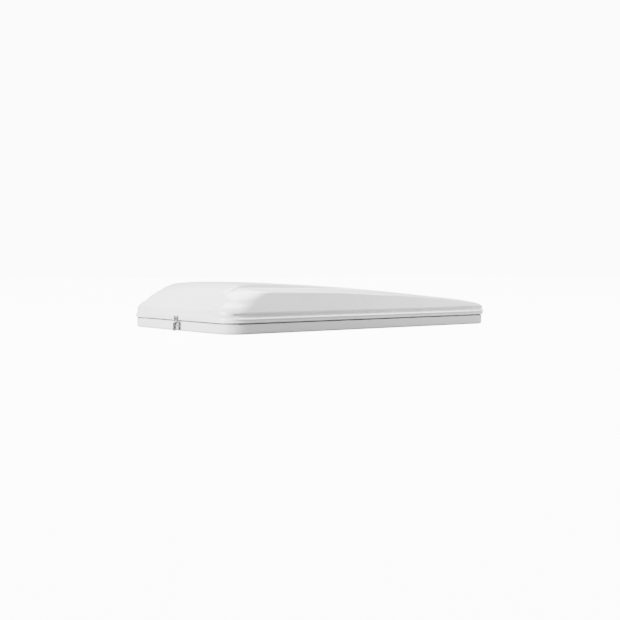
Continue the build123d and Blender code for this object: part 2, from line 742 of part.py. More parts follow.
# ---- nodes --------------------------------------------------------------------------
save("lower_shell", make_lower_shell())
save("floor_board", make_floor_board())
save("mattress", make_mattress())
rail_bolts, rail_washers = make_rail_bolts()
save("rail_bolts", *rail_bolts)
save("rail_washers", *rail_washers)
save("seal", make_seal())
save("fabric_clamp_lower",
     clamp_strip(-CLAMP_LOW_OUT, -CLAMP_LOW_IN, BASE_TOP, BASE_TOP + CLAMP_THICK, CLAMP_LOW_FRONT))

save("upper_shell", make_upper_shell())
save("headliner", make_headliner())
lamp_housing, lamp_lens = make_lamp()
save("lamp_housing", lamp_housing)
save("lamp_lens", lamp_lens)
storage_net, net_hangers = make_net()
save("storage_net", storage_net)
save("net_hangers", *net_hangers)
save("grab_strap", make_grab_strap())
save("fabric_clamp_upper",
     clamp_strip(-WALL, -WALL - CLAMP_THICK, CLAMP_TOP_Z[0], CLAMP_TOP_Z[1], CLAMP_TOP_FRONT))
save("fabric_wall_rear", make_rear_wall())

low_leaves, top_leaves, hinge_pins, screws_low, screws_top = make_hinges()
save("hinge_leaves_lower", *low_leaves)
save("hinge_leaves_upper", *top_leaves)
save("hinge_pins", *hinge_pins)
save("hinge_screws_lower", *screws_low)
save("hinge_screws_upper", *screws_top)

save("latch_base", make_latch_base())
save("latch_pivots", *make_latch_pivots())
save("latch_lever", make_latch_lever())
save("latch_bail_pin", make_bail_pin())
save("latch_bail", make_bail())
save("latch_keeper", make_keeper())
rivets_low, rivets_top = make_latch_rivets()
save("latch_rivets", *rivets_low)
save("keeper_rivets", *rivets_top)

for side, word in ((-1, "left"), (1, "right")):
    save("mounting_rail_" + word, make_rail(side))
    save("fabric_wall_" + word, make_side_wall(side))
    save("strut_cylinder_" + word, make_cylinder(side))
    save("strut_rod_" + word, make_rod(side))
    save("strut_bracket_lower_" + word,
         strut_bracket(side, STRUT_BASE_X, STRUT_BASE_Z, STRUT_Y - EYE_HALF - HEAD_GAP, True))
    save("strut_bracket_upper_" + word,
         strut_bracket(side, STRUT_LID_X, STRUT_LID_Z, STRUT_Y + EYE_HALF + STUD_GAP, False))
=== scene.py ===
import json
import math
import bpy
import numpy as np
from mathutils import Matrix, Vector


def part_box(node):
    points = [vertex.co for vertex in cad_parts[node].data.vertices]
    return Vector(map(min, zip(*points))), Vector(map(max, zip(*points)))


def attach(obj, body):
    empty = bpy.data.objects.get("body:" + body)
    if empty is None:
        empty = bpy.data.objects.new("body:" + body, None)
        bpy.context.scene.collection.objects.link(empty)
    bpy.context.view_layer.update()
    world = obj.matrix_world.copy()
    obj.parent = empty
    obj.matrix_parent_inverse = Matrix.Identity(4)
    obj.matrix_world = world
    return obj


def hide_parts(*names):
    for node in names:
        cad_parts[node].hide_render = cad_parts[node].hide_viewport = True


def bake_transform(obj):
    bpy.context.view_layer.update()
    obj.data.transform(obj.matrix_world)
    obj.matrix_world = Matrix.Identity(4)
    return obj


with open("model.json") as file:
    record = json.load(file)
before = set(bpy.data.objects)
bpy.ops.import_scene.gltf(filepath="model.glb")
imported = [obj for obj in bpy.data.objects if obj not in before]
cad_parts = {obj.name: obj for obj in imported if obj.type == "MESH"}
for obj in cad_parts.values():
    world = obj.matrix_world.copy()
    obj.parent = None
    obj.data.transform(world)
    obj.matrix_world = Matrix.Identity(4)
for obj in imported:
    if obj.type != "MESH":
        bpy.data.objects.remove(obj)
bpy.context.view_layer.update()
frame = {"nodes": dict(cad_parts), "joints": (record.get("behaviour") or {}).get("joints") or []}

# Hard-shell rooftop tent, closed. Metres, the CAD frame: +X to the hinged low end, +Z up.

# ---- sizes taken from the frame ----
BASE_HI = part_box("lower_shell")[1]
LID_LO, LID_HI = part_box("upper_shell")
SEAL_LO, SEAL_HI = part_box("seal")

HALF_L = BASE_HI.x  # lower shell
HALF_W = BASE_HI.y
BASE_TOP = BASE_HI.z
CORNER = 0.140  # lower shell's corner radius in plan
RIM = LID_HI.y - BASE_HI.y  # overhang of the lid's rim band
SEAM = LID_LO.z  # lid's lower edge
ROOF = LID_HI.z

MM = 0.001


# ---- mesh helpers ----
def new_object(name, verts, faces, smooth=True):
    """Mesh object from plain lists."""
    mesh = bpy.data.meshes.new(name)
    mesh.from_pydata([tuple(v) for v in verts], [], faces)
    mesh.validate()
    mesh.update()
    if smooth:
        mesh.polygons.foreach_set("use_smooth", [True] * len(mesh.polygons))
    obj = bpy.data.objects.new(name, mesh)
    bpy.context.scene.collection.objects.link(obj)
    return obj


def loft_rings(name, rings, cap_first=False, cap_last=False):
    """Skin through closed rings that have the same number of points."""
    count = len(rings[0])
    verts = np.concatenate(rings)
    faces = []
    for k in range(len(rings) - 1):
        a = k * count
        b = a + count
        for i in range(count):
            j = (i + 1) % count
            faces.append((a + i, a + j, b + j, b + i))
    if cap_first:
        faces.append(tuple(range(count - 1, -1, -1)))
    if cap_last:
        start = (len(rings) - 1) * count
        faces.append(tuple(range(start, start + count)))
    return new_object(name, verts, faces)


def plan_ring(half_x, half_y, radius, sides, arc):
    """Points of a rounded rectangle, anticlockwise from its +X side, the same count for any size."""
    radius = max(radius, 1e-4)
    cx, cy = half_x - radius, half_y - radius
    points = []
    corners = ((cx, cy, 0), (-cx, cy, 90), (-cx, -cy, 180), (cx, -cy, 270))
    for index, (x, y, start) in enumerate(corners):
        for k in range(arc):
            angle = math.radians(start + 90 * k / arc)
            points.append((x + radius * math.cos(angle), y + radius * math.sin(angle)))
        nx, ny, _ = corners[(index + 1) % 4]
        angle = math.radians(start + 90)
        ax, ay = x + radius * math.cos(angle), y + radius * math.sin(angle)
        bx, by = nx + radius * math.cos(angle), ny + radius * math.sin(angle)
        run = sides[1] if index % 2 == 0 else sides[0]
        for k in range(run):
            t = k / run
            points.append((ax + (bx - ax) * t, ay + (by - ay) * t))
    return np.array(points)


def ring_normals(base):
    """Outward normals of a closed plan ring."""
    along = np.roll(base, -1, 0) - np.roll(base, 1, 0)
    normal = np.stack([along[:, 1], -along[:, 0]], 1)
    return normal / np.linalg.norm(normal, axis=1)[:, None]


def set_in(base, normal, inset, z):
    """Ring at a height, set in from a plan; inset and z are numbers, or one for each point."""
    inset = np.broadcast_to(inset, len(base))[:, None]
    return np.column_stack([base - normal * inset, np.broadcast_to(z, len(base))])


def smooth(t):
    """Smoothstep from 0 to 1."""
    t = np.clip(t, 0, 1)
    return t * t * (3 - 2 * t)


def ease(value, start, width):
    """0 up to start and 1 from start + width on, smooth between; a negative width runs backwards."""
    return smooth((value - start) / width)


def smooth_min(a, b, k):
    """Minimum of a and b, rounded over a width k."""
    h = np.clip(0.5 + 0.5 * (b - a) / k, 0, 1)
    return b + (a - b) * h - k * h * (1 - h)


def curve(xs, ys, x):
    """Smooth monotone curve through a few points."""
    xs, ys = np.array(xs, float), np.array(ys, float)
    slope = np.diff(ys) / np.diff(xs)
    tangent = np.zeros_like(ys)
    tangent[0], tangent[-1] = slope[0], slope[-1]
    for i in range(1, len(ys) - 1):
        if slope[i - 1] * slope[i] > 0:
            tangent[i] = 2 * slope[i - 1] * slope[i] / (slope[i - 1] + slope[i])
    x = np.clip(x, xs[0], xs[-1])
    i = np.clip(np.searchsorted(xs, x) - 1, 0, len(xs) - 2)
    h = xs[i + 1] - xs[i]
    t = (x - xs[i]) / h
    return (
        (2 * t**3 - 3 * t**2 + 1) * ys[i] + (t**3 - 2 * t**2 + t) * h * tangent[i]
        + (-2 * t**3 + 3 * t**2) * ys[i + 1] + (t**3 - t**2) * h * tangent[i + 1]
    )


# ---- lid surface ----
RIM_L = HALF_L + RIM
RIM_W = HALF_W + RIM
RIM_R = CORNER + RIM
CREASE = 0.432  # half width inside the shoulder slopes
# heights along X: the crease, the top of the raised panel, and the slope outside the crease
CREASE_LINE = ((-1.0, -0.9, -0.6, -0.27, 0.0, 0.33, 0.69, 0.9, 1.15),
               (0.2865, 0.2855, 0.281, 0.2745, 0.262, 0.2365, 0.206, 0.186, 0.160))
TOP_LINE = ((-1.05, -0.95, -0.87, -0.71, -0.55, -0.30, -0.12, 0.06, 0.24, 0.43, 0.63, 0.83, 1.04, 1.15),
            (0.3155, 0.316, 0.316, 0.3135, 0.308, 0.296, 0.286, 0.275, 0.261, 0.246, 0.2285,
             0.2085, 0.185, 0.172))
ROOF_FALL = ((-0.9, 0.0, 0.33, 0.6), (0.205, 0.205, 0.148, 0.120))
# how far each wall has come in at a height: rear, side and front, and the corners' radius
REAR_IN = ((0.100, 0.142, 0.159, 0.187, 0.217, 0.245, 0.264, 0.278, 0.2865, 0.30),
           (0.0, 0.010, 0.025, 0.070, 0.100, 0.130, 0.160, 0.200, 0.250, 0.360))
FRONT_IN = ((0.100, 0.130, 0.150, 0.164, 0.172, 0.180, 0.30),
            (0.0, 0.012, 0.030, 0.060, 0.100, 0.160, 1.000))
CORNER_AT = ((0.100, 0.130, 0.165, 0.207, 0.256, 0.30), (0.150, 0.145, 0.155, 0.160, 0.215, 0.27))
PANEL_FOOT = 0.130  # height where the side panels start
SIDE_SET = 0.015  # side panel's foot, inward from the rim
SIDE_LEAN = math.tan(math.radians(21))
LEVELS = np.linspace(0.118, 0.30, 62)  # heights at which the walls' plan is worked out
BOW = 0.045  # bulge of the rear face in plan, at its middle
BOW_HALF = 0.46  # half width of that bulge
SOFT = 0.0045  # rounding of the shoulder, and what the ends add to it
SOFT_REAR, SOFT_FRONT = 0.024, 0.016
BEAD = 0.0034  # height of the bead along the shoulder
BEAD_WIDTH = 0.012
RAISED_IN = 0.005  # raised panel's edge, in from the crease, and its narrowing
RAISED_NARROW, RAISED_NARROW_REAR = 0.07, 0.008
STEP, STEP_FALL = 0.019, 0.0175  # raised panel's step at the rear, and its loss forwards
STEP_WIDTH = 0.008
LEAST_CROWN = 0.002
GROOVE = 0.0085  # depth of the groove at the foot of the step
GROOVE_WIDTH = 0.006

# rim band and cove as (inset, rise above the seam) in mm, along the sides and at the rear
EDGE_SIDE = ((18, 0.6), (9, 0.6), (5, 1.2), (3.2, 2.4), (2.4, 4.0), (2.6, 5.6), (4.2, 7.2), (6.8, 8.8),
             (8.6, 10.6), (9.0, 12.6), (8.0, 14.8), (5.6, 17), (2.8, 19), (0.8, 21), (0.2, 23), (0.6, 25),
             (2.4, 27.2), (5.2, 29.4), (8.6, 31.2), (12.5, 32.8), (17.5, 34), (22.5, 35.6), (26.5, 38),
             (28.5, 41), (28.6, 44), (26, 48), (21.6, 52.5), (17, 57))
EDGE_REAR = ((18, 0.6), (5, 0.6), (3.2, 0.8), (2.2, 1.8), (1.8, 3.5), (1.5, 7), (1.3, 10), (1.3, 13),
             (1.4, 16), (1.4, 19), (1.3, 22), (1.2, 24.5), (1.1, 26.3), (1.1, 27.6), (1.2, 28.6),
             (1.3, 29.4), (1.5, 29.9), (1.7, 30.2), (2.2, 30.6), (2.6, 31.2), (3.0, 32), (3.4, 33.5),
             (3.9, 36), (4.5, 39.5), (5.2, 43.5), (6.0, 48), (7.0, 53), (8.2, 58))
COVE_RISE = 27  # above this rise in mm the insets shrink towards the front,
COVE_FRONT = 0.35  # to this share
COVE_END = 0.0165  # inset where the cove ends and the walls start
FLUSH_REAR = 0.0075  # the rear wall starts this much nearer to the rim,
FLUSH_RUN = 0.06  # and has caught up after this run
RING_R = 0.01  # corner radius of the roof's inner rings
# how far the rear corners lean in beyond the rest, at a height, in mm
CORNER_LEAN = ((0.070, 0.085, 0.1015, 0.112, 0.120, 0.133, 0.150, 0.170), (0, 8, 15, 22, 26, 19, 6, 0))


def wall_height(x, y):
    """Height at which the leaning walls pass over a point of the plan."""
    outside = []
    for z in LEVELS:
        low = -RIM_L + float(curve(*REAR_IN, z))
        high = RIM_L - float(curve(*FRONT_IN, z))
        half = RIM_W - SIDE_SET - (z - PANEL_FOOT) * SIDE_LEAN
        radius = float(curve(*CORNER_AT, z))
        qx = np.abs(x - (low + high) / 2) - ((high - low) / 2 - radius)
        qy = np.abs(y) - (half - radius)
        outside.append(np.hypot(np.maximum(qx, 0), np.maximum(qy, 0))
                       + np.minimum(np.maximum(qx, qy), 0) - radius)
    outside = np.array(outside)
    below = np.clip((outside < 0).sum(0) - 1, 0, len(LEVELS) - 2)
    column = np.arange(outside.shape[1])
    a, b = outside[below, column], outside[below + 1, column]
    t = np.clip(-a / np.maximum(b - a, 1e-9), 0, 3)
    return LEVELS[below] + (LEVELS[below + 1] - LEVELS[below]) * t


def lid_height(x, y):
    """Height of the lid's outer skin above a point of its plan."""
    across = np.abs(y)
    side = RIM_W - across  # distances in from the rim
    rear = x + RIM_L
    front = RIM_L - x
    bow = BOW * (1 - np.clip(across / BOW_HALF, 0, 1) ** 2) * ease(rear, 0, 0.13) * (x < 0)
    wall = wall_height(x + bow, y)
    crease = curve(*CREASE_LINE, x)
    fall = curve(*ROOF_FALL, x)
    slope = crease - fall * np.maximum(RIM_W - CREASE - side, 0)
    soft = SOFT + SOFT_REAR * ease(rear, 0.26, -0.2) + SOFT_FRONT * ease(front, 0.16, -0.12)
    z = smooth_min(wall, slope, soft)
    # raised roof panel: a step near the crease and a crown inside it
    half = CREASE - RAISED_IN - RAISED_NARROW * smooth(x) - RAISED_NARROW_REAR * ease(rear, 0.21, -0.16)
    step = STEP - STEP_FALL * ease(x, -0.75, 0.85)
    mask = smooth((half - across) / STEP_WIDTH + 0.5)
    fade = ease(rear + bow, 0.09, 0.24) * ease(front, 0.10, 0.30)
    crown = curve(*TOP_LINE, x) - crease - step
    dome = 1 - np.clip(across / half, 0, 1) ** 2
    rise = fade * (step + np.maximum(crown, LEAST_CROWN) * dome)
    # small bead along the shoulder, where the side panel meets the slope
    gap = (wall - slope) / BEAD_WIDTH
    ends = ease(rear, 0.16, 0.15) * ease(front, 0.12, 0.1)
    bead = BEAD * np.exp(-((gap - 0.6) ** 2)) * ends * ease(across, 0.47, 0.05)
    # groove at the foot of the step, which starts on the rear face and fades out along the roof
    along = ease(rear, 0.035, 0.05) * (1 - ease(x, -0.45, 0.7))
    groove = GROOVE * np.exp(-(((half - across) / GROOVE_WIDTH + 1.2) ** 2)) * along
    return np.minimum(z + mask * rise, ROOF) - groove + bead


def facing(component):
    """How far a ring's points face an end: 0 along the sides and 1 on the end itself."""
    return ease(component, 0.35, 0.5)


def between(at_side, at_rear, rear):
    """Inset and rise of each point of a ring, from those along the sides and at the rear."""
    return (side + (end - side) * rear for side, end in zip(at_side, at_rear))


def lid_outer_rings():
    """Rings of the outer skin, from the underside of the rim to the middle of the roof."""
    sides, arc = (118, 168), 22
    base = plan_ring(RIM_L, RIM_W, RIM_R, sides, arc)
    normal = ring_normals(base)
    rear, front = facing(-normal[:, 0]), facing(normal[:, 0])
    rings = []
    # rim band: a foot, a bead, an undercut and the ledge's sloping nose along the sides; then the
    # cove, deep along the sides, shallower at the front and nearly flush at the rear
    for at_side, at_rear in zip(EDGE_SIDE, EDGE_REAR):
        inset, rise = between(at_side, at_rear, rear)
        if at_side[1] > COVE_RISE:
            inset = inset * (1 - (1 - COVE_FRONT) * front)
        rings.append(set_in(base, normal, inset * MM, SEAM + rise * MM))
    # walls and roof: heights come from the plan, with rings closest together near the shoulder
    steps = [*np.linspace(COVE_END, 0.075, 34), *np.linspace(0.079, 0.19, 26),
             *np.linspace(0.194, 0.25, 38), *np.linspace(0.262, RIM_W - 0.002, 22)]
    for d in steps:
        if d < RIM_R - RING_R:
            reach = d - FLUSH_REAR * rear * max(0.0, 1 - (d - COVE_END) / FLUSH_RUN)
            ring = base - normal * reach[:, None]
        else:
            ring = plan_ring(RIM_L - d, RIM_W - d, RING_R, sides, arc)
        rings.append(np.column_stack([ring, lid_height(ring[:, 0], ring[:, 1])]))
    corner = rear * ease(np.abs(base[:, 1]), 0.30, 0.22)
    for ring in rings:
        ring[:, :2] -= normal * (corner * curve(*CORNER_LEAN, ring[:, 2]) * MM)[:, None]
    return rings


lid_skin = loft_rings("lid_shell", lid_outer_rings(), cap_last=True)


# ---- lower shell ----
def base_rings(profile):
    """Rings along the lower shell's plan; the profile is (inset, height) in mm."""
    base = plan_ring(HALF_L, HALF_W, CORNER, (60, 90), 20)
    normal = ring_normals(base)
    return [set_in(base, normal, inset * MM, z * MM) for inset, z in profile]


def make_base():
    """Tray: floor, rounded foot, upright wall, flange, and the inner faces."""
    top = BASE_TOP / MM
    outer = [(60, 0.0), (14, 0.0), (10, 0.4), (6.5, 1.6), (3.6, 3.6), (1.6, 6.5), (0.5, 10), (0.1, 14)]
    outer += [(0.0, 25), (0.0, 40), (0.0, top - 4), (0.1, top - 2.2), (0.5, top - 1), (1.3, top - 0.3),
              (2.2, top)]
    inner = [(20, top), (38.5, top), (39.6, top - 0.5), (40, top - 1.5), (40, top - 3.5),
             (39.6, top - 4.6), (38.5, top - 5), (10, top - 5), (6, top - 6), (4, top - 9), (4, 16),
             (5, 10), (8, 6), (13, 4), (60, 4)]
    return loft_rings("base_shell", base_rings(outer + inner), cap_first=True, cap_last=True)


def add_box(name, low, high):
    """Plain box, to add or cut with a boolean."""
    low, high = Vector(low), Vector(high)
    corners = [Vector((x, y, z)) for x in (low.x, high.x) for y in (low.y, high.y) for z in (low.z, high.z)]
    faces = [(0, 1, 3, 2), (4, 6, 7, 5), (0, 4, 5, 1), (2, 3, 7, 6), (0, 2, 6, 4), (1, 5, 7, 3)]
    return new_object(name, corners, faces, smooth=False)


def apply_modifiers(obj):
    """Bakes an object's modifiers into its mesh."""
    graph = bpy.context.evaluated_depsgraph_get()
    mesh = bpy.data.meshes.new_from_object(obj.evaluated_get(graph))
    obj.modifiers.clear()
    obj.data = mesh


def boolean(obj, tool, operation):
    """Applies a boolean and removes the tool."""
    step = obj.modifiers.new(operation.lower(), "BOOLEAN")
    step.operation = operation
    step.solver = "EXACT"
    step.object = tool
    apply_modifiers(obj)
    bpy.data.objects.remove(tool)


def cut_rail_seats(shell):
    """Channels under the floor that the mounting rails sit in."""
    wall = 4 * MM
    for name in ("mounting_rail_left", "mounting_rail_right"):
        low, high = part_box(name)
        ridge = add_box("ridge", low - Vector((wall, wall, -2 * MM)), high + Vector((wall, wall, wall)))
        boolean(shell, ridge, "UNION")
        seat = add_box("seat", low - Vector((MM, MM, 2 * MM)), high + Vector((MM, MM, 0.2 * MM)))
        boolean(shell, seat, "DIFFERENCE")


base_skin = make_base()
cut_rail_seats(base_skin)


# ---- seal ----
def make_seal():
    """Rubber bulb seal between the two shells."""
    low, high = SEAL_LO.z / MM, SEAL_HI.z / MM
    middle = (low + high) / 2
    profile = [(14.5, low), (3.5, low), (3.0, low + 0.6), (3.2, low + 1.6), (4.2, low + 2.2)]
    profile += [(3.4, middle), (3.1, middle + 1.0), (3.2, high - 1.4), (3.8, high - 0.4), (5.0, high),
                (13.0, high), (14.3, high - 0.6), (14.8, high - 2), (14.8, low + 1)]
    return loft_rings("seal_bulb", base_rings(profile + profile[:1]))


seal = make_seal()


# ---- lid, inner faces ----
SKIN = 0.004  # moulded shell thickness


def make_lid_inner():
    """Inner faces of the lid: flange, channel behind the rim band, walls and roof."""
    base = plan_ring(RIM_L, RIM_W, RIM_R, (60, 80), 14)
    normal = ring_normals(base)
    rear = facing(-normal[:, 0])
    # (inset, rise above the seam) in mm: flange and channel, then the cove and its flush rear
    profile = ((18, 0.6), (30, 0.6), (31, 1.2), (31, 3.6), (30.2, 4.3), (14, 4.3), (12.5, 6), (12.5, 24),
               (13.5, 26))
    rings = [set_in(base, normal, inset * MM, SEAM + rise * MM) for inset, rise in profile]
    cove = ((27, 26.5), (31.5, 31), (31.5, 42), (21.5, 56))
    flush = ((17, 27.5), (17, 32), (17, 42), (17, 56))
    for at_side, at_rear in zip(cove, flush):
        inset, rise = between(at_side, at_rear, rear)
        rings.append(set_in(base, normal, inset * MM, SEAM + rise * MM))
    # walls and roof lie about one skin inside the outer ones
    for d in [*np.linspace(0.0175, 0.12, 22), *np.linspace(0.13, RIM_W - 0.01, 24)]:
        if d < RIM_R - RING_R:
            ring = base - normal * d
            deep = base - normal * (d + SKIN)
        else:
            ring = plan_ring(RIM_L - d, RIM_W - d, RING_R, (60, 80), 14)
            deep = ring
        rings.append(np.column_stack([deep, lid_height(ring[:, 0], ring[:, 1]) - 0.8 * SKIN]))
    return loft_rings("lid_inner", rings, cap_last=True)


lid_inner = make_lid_inner()


# ---- soft pieces inside ----
def tube(points, radius, sides, closed=False):
    """Vertices and faces of a round tube along points; radius is a number or one for each point."""
    points = np.array(points, float)
    count = len(points)
    radius = np.broadcast_to(radius, count)
    if closed:
        along = np.roll(points, -1, 0) - np.roll(points, 1, 0)
    else:
        along = np.gradient(points, axis=0)
    along /= np.linalg.norm(along, axis=1)[:, None]
    side = np.cross(along[0], (0.0, 0.0, 1.0))
    if np.linalg.norm(side) < 1e-3:
        side = np.cross(along[0], (0.0, 1.0, 0.0))
    verts = []
    for k in range(count):
        side = side - along[k] * (side @ along[k])
        side /= np.linalg.norm(side)
        up = np.cross(side, along[k])
        for j in range(sides):
            angle = 2 * math.pi * j / sides
            verts.append(points[k] + radius[k] * (math.cos(angle) * side + math.sin(angle) * up))
    faces = []
    for k in range(count if closed else count - 1):
        a, b = k * sides, (k + 1) % count * sides
        for j in range(sides):
            faces.append((a + j, b + j, b + (j + 1) % sides, a + (j + 1) % sides))
    if not closed:
        faces.append(tuple(range(sides - 1, -1, -1)))
        faces.append(tuple((count - 1) * sides + j for j in range(sides)))
    return verts, faces


def joined(name, parts):
    """One object from several (verts, faces) lists."""
    verts, faces = [], []
    for part_verts, part_faces in parts:
        start = len(verts)
        verts.extend(part_verts)
        faces.extend(tuple(start + i for i in face) for face in part_faces)
    return new_object(name, verts, faces)


def closed_sheet(name, xs, ys, low, high):
    """Closed pad over a grid; low and high give the heights of its two faces."""
    gx, gy = np.meshgrid(xs, ys, indexing="ij")
    nx, ny = gx.shape
    top = np.stack([gx, gy, high(gx, gy)], -1).reshape(-1, 3)
    bottom = np.stack([gx, gy, low(gx, gy)], -1).reshape(-1, 3)
    count = nx * ny
    faces = []
    for i in range(nx - 1):
        for j in range(ny - 1):
            a, b, c, d = i * ny + j, (i + 1) * ny + j, (i + 1) * ny + j + 1, i * ny + j + 1
            faces.append((a, b, c, d))
            faces.append((count + d, count + c, count + b, count + a))
    edge = [i * ny for i in range(nx)] + [(nx - 1) * ny + j for j in range(1, ny)]
    edge += [i * ny + ny - 1 for i in range(nx - 2, -1, -1)] + list(range(ny - 2, 0, -1))
    for k, a in enumerate(edge):
        b = edge[(k + 1) % len(edge)]
        faces.append((b, a, count + a, count + b))
    return new_object(name, np.concatenate([top, bottom]), faces)


QUILT = 0.09  # size of the lining's quilted diamonds
LINING_GAP = 0.001  # between the lining and the roof


def make_headliner():
    """Quilted lining: diamonds, puffed between the stitch lines."""
    lo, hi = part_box("headliner")

    def ceiling(x, y):
        """Upper face, just under the roof."""
        return curve(*CREASE_LINE, x) - SKIN - LINING_GAP

    def puffed(x, y):
        """Lower face with its quilting and rounded edge."""
        across = np.abs(np.sin(math.pi * (x + y) / QUILT) * np.sin(math.pi * (x - y) / QUILT))
        edge = np.minimum(np.minimum(x - lo.x, hi.x - x), np.minimum(y - lo.y, hi.y - y))
        return ceiling(x, y) - 0.002 - smooth(edge / 0.018) * (0.003 + 0.0055 * across**0.45)

    xs = np.linspace(lo.x, hi.x, 190)
    ys = np.linspace(lo.y, hi.y, 92)
    return closed_sheet("headliner_quilted", xs, ys, puffed, ceiling)


headliner = make_headliner()


TUFT = 0.17  # spacing of the mattress's tufts
TUFT_R, TUFT_DEPTH = 0.011, 0.013
TUFT_EDGE = 0.05  # no tuft nearer than this to the mattress's sides
PAD_IN, PAD_ABOVE = 0.006, 0.008  # room left for the pad to swell, at the sides and above
PAD_SWELL = 0.006  # furthest that a point may move in the simulation


def inflate(obj, group, pressure, frames):
    """Cloth under inner pressure with a pinned group; the last frame becomes the mesh."""
    cloth = obj.modifiers.new("cloth", "CLOTH")
    cloth.settings.use_pressure = True
    cloth.settings.uniform_pressure_force = pressure
    cloth.settings.effector_weights.gravity = 0
    cloth.settings.vertex_group_mass = group
    cloth.settings.quality = 5
    scene = bpy.context.scene
    for step in range(1, frames + 1):
        scene.frame_set(step)
    apply_modifiers(obj)
    scene.frame_set(1)


def make_mattress():
    """Foam mattress: a block with pinned tufts, blown up a little by the cloth solver."""
    lo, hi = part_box("mattress")
    bpy.ops.mesh.primitive_cube_add(size=1)
    block = bpy.context.active_object
    block.name = "mattress_pad"
    size = Vector((hi.x - lo.x - 2 * PAD_IN, hi.y - lo.y - 2 * PAD_IN, hi.z - lo.z - PAD_ABOVE))
    middle = Vector(((hi.x + lo.x) / 2, (hi.y + lo.y) / 2, lo.z + 0.001 + size.z / 2))
    block.data.transform(Matrix.Translation(middle) @ Matrix.Diagonal((*size, 1)))
    bevel = block.modifiers.new("edge", "BEVEL")
    bevel.width = 0.022
    bevel.segments = 4
    remesh = block.modifiers.new("remesh", "REMESH")
    remesh.mode = "VOXEL"
    remesh.voxel_size = 0.0145
    apply_modifiers(block)
    pins = block.vertex_groups.new(name="tufts")
    face = 0.003  # a point this near to a face belongs to it
    top = middle.z + size.z / 2 - face
    for vert in block.data.vertices:
        x, y = vert.co.x - middle.x, vert.co.y - middle.y
        u, v = x / TUFT, y / TUFT
        off = math.hypot(u - round(u), v - round(v)) * TUFT
        inside = abs(x) < size.x / 2 - TUFT_EDGE and abs(y) < size.y / 2 - TUFT_EDGE
        if vert.co.z > top and inside and off < TUFT_R:
            vert.co.z -= TUFT_DEPTH
            pins.add([vert.index], 1.0, "REPLACE")
        if vert.co.z < lo.z + face:
            pins.add([vert.index], 1.0, "REPLACE")
    rest = np.array([v.co for v in block.data.vertices])
    inflate(block, "tufts", pressure=2.2, frames=12)
    puffed = np.array([v.co for v in block.data.vertices])
    step = puffed - rest
    length = np.linalg.norm(step, axis=1)[:, None]
    capped = rest + step * np.minimum(1, PAD_SWELL / np.maximum(length, 1e-9))
    capped[:, 2] = np.clip(capped[:, 2], lo.z + 0.0005, hi.z)
    block.data.vertices.foreach_set("co", capped.ravel())
    block.modifiers.new("fine", "SUBSURF").levels = 1
    apply_modifiers(block)
    block.data.polygons.foreach_set("use_smooth", [True] * len(block.data.polygons))
    return block


mattress = make_mattress()


def make_piping():
    """Piping sewn round the mattress's upper and lower edges."""
    lo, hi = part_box("mattress")
    inset = 0.007
    radius = 0.0028
    ring = plan_ring((hi.x - lo.x) / 2 - inset, (hi.y - lo.y) / 2 - inset, 0.03, (60, 110), 8)
    ring = ring + np.array([(hi.x + lo.x) / 2, 0.0])
    parts = []
    for z in (lo.z + 0.009, hi.z - 0.013):
        parts.append(tube(np.column_stack([ring, np.full(len(ring), z)]), radius, 8, closed=True))
    return joined("mattress_piping", parts)


piping = make_piping()


# storage net: knotted diamonds with an elastic border, and its hooks
NET_IN = 0.006  # border, in from the net's box
NET_SAG = 0.009
BORDER_R = 0.0032
# strand between two knots: (share of the way, radius in mm), thick at the knots
STRAND = ((0.0, 2.0), (0.07, 1.7), (0.14, 0.9), (0.5, 0.8), (0.86, 0.9), (0.93, 1.7))


def make_net():
    """Net strands with a knot at each crossing, sagging between the four hooks."""
    lo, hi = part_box("storage_net")
    cx, cy = (lo.x + hi.x) / 2, (lo.y + hi.y) / 2
    half_x, half_y = (hi.x - lo.x) / 2 - NET_IN, (hi.y - lo.y) / 2 - NET_IN
    rows, columns = 12, 18

    def at(i, j):
        """Knot of the lattice, pulled in along the border and sagging in the middle."""
        u, v = 2 * i / rows - 1, 2 * j / columns - 1
        x = cx + half_x * u * (1 - 0.05 * (1 - v * v))
        y = cy + half_y * v * (1 - 0.04 * (1 - u * u))
        return np.array([x, y, hi.z - 0.001 - NET_SAG * (1 - u * u) * (1 - v * v)])

    parts = []
    for turn in (1, -1):
        for start in range(-columns, rows + columns + 1, 2):
            run = [(i, turn * (i - start)) for i in range(rows + 1)]
            run = [at(i, j) for i, j in run if 0 <= j <= columns]
            if len(run) < 2:
                continue
            points, radius = [], []
            for a, b in zip(run, run[1:]):
                for t, r in STRAND:
                    points.append(a + (b - a) * t)
                    radius.append(r * MM)
            points.append(run[-1])
            radius.append(STRAND[0][1] * MM)
            parts.append(tube(points, radius, 5))
    border = [at(i, 0) for i in range(rows)] + [at(rows, j) for j in range(columns)]
    border += [at(i, columns) for i in range(rows, 0, -1)] + [at(0, j) for j in range(columns, 0, -1)]
    parts.append(tube(border, BORDER_R, 8, closed=True))
    return joined("storage_net_knotted", parts)


HOOK_PLATE_R, HOOK_R = 0.012, 0.0022
HOOK_TOP = 0.0135  # plate's upper face, below the crease's height
HOOK_STEM = 0.2475  # foot of the stem, and the middle and radius of the curl below it
HOOK_CURL, HOOK_CURL_R = 0.2405, 0.005


